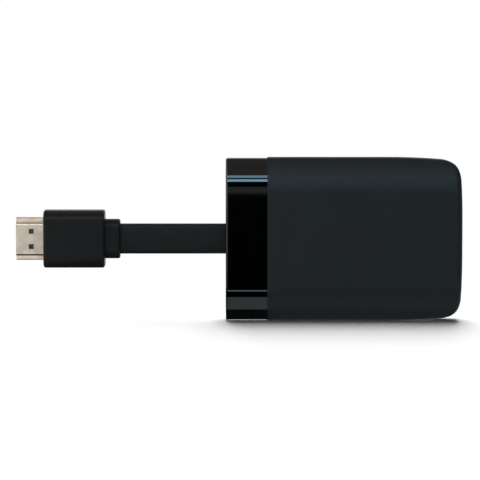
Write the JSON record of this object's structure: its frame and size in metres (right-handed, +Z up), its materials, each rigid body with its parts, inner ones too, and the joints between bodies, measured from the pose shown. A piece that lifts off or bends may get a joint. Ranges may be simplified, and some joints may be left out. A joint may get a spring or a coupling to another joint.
{
  "type": "streaming stick",
  "caption": "Flat streaming stick with a rounded far end, a gloss end band and a short flat captive lead that ends in a standard video plug.",
  "frame": {"origin": "under the middle of the housing, on the surface that its lower long edge stands on", "axes": "+X along the housing away from the plug, +Y from the front face to the back face, +Z up"},
  "size_m": [0.1447, 0.015, 0.053],
  "materials": {
    "soft_touch_shell": "soft-touch moulded",
    "gloss_cap": "high gloss, infrared clear",
    "button_plastic": "moulded",
    "lead_jacket": "extruded, satin",
    "plug_moulding": "moulded, fine matte",
    "nickel_plate": "nickel plated",
    "black_insulator": "moulded",
    "gold_contact": "gold plated",
    "solder_mask": "solder mask",
    "chip_epoxy": "moulded epoxy",
    "tinned_sheet": "tinned",
    "cast_aluminium": "as cast",
    "soft_pad": "soft silicone",
    "nylon_white": "moulded nylon",
    "wire_insulation": "extruded",
    "anchor_moulding": "moulded",
    "ferrite": "pressed",
    "ceramic": "fired",
    "dark_lens": "dark clear moulding",
    "led_white": "moulded",
    "clear_acrylic": "polished",
    "screw_steel": "black zinc",
    "plunger_plastic": "moulded"
  },
  "bodies": {
    "housing": {"front_shell": "soft_touch_shell", "back_shell": "soft_touch_shell", "gloss_end_cap": "gloss_cap", "flat_lead": "lead_jacket", "inlet_shell": "nickel_plate", "inlet_tongue": "black_insulator", "switch_body": "black_insulator", "inlet_contacts": "gold_contact", "main_board": "solder_mask", "wireless_module": "solder_mask", "soc_chip": "chip_epoxy", "memory_chips": "chip_epoxy", "flash_chip": "chip_epoxy", "power_chip": "chip_epoxy", "shield_frame": "tinned_sheet", "shield_lid": "tinned_sheet", "wireless_lid": "tinned_sheet", "crystal": "tinned_sheet", "wifi_antennas": "tinned_sheet", "heat_spreader": "cast_aluminium", "chip_pad": "soft_pad", "spreader_pad": "soft_pad", "lead_terminal": "nylon_white", "lead_header": "nylon_white", "lead_wires": "wire_insulation", "lead_anchor": "anchor_moulding", "inductors": "ferrite", "capacitors": "ceramic", "ir_receiver": "dark_lens", "status_led": "led_white", "light_pipe": "clear_acrylic", "board_screws": "screw_steel"},
    "button": {"reset_button": "button_plastic", "switch_plunger": "plunger_plastic"},
    "plug": {"strain_relief": "plug_moulding", "plug_overmould": "plug_moulding", "plug_can": "tinned_sheet", "plug_premould": "nylon_white", "hdmi_shell": "nickel_plate", "hdmi_insulator": "black_insulator", "hdmi_contacts": "gold_contact"}
  },
  "joints": [
    {"name": "lead_bend", "type": "hinge", "parent": "housing", "child": "plug", "pos_m": [-0.05545, 0, 0.0265], "axis": [0, 0, 1], "range_deg": [-90, 90], "stiffness_Nm_per_rad": 0.01, "deforming": ["flat_lead"]},
    {"name": "reset_press", "type": "slide", "parent": "housing", "child": "button", "axis": [-1, 0, 0], "range_m": [0, 0.0003], "stiffness_N_per_m": 5000}
  ]
}
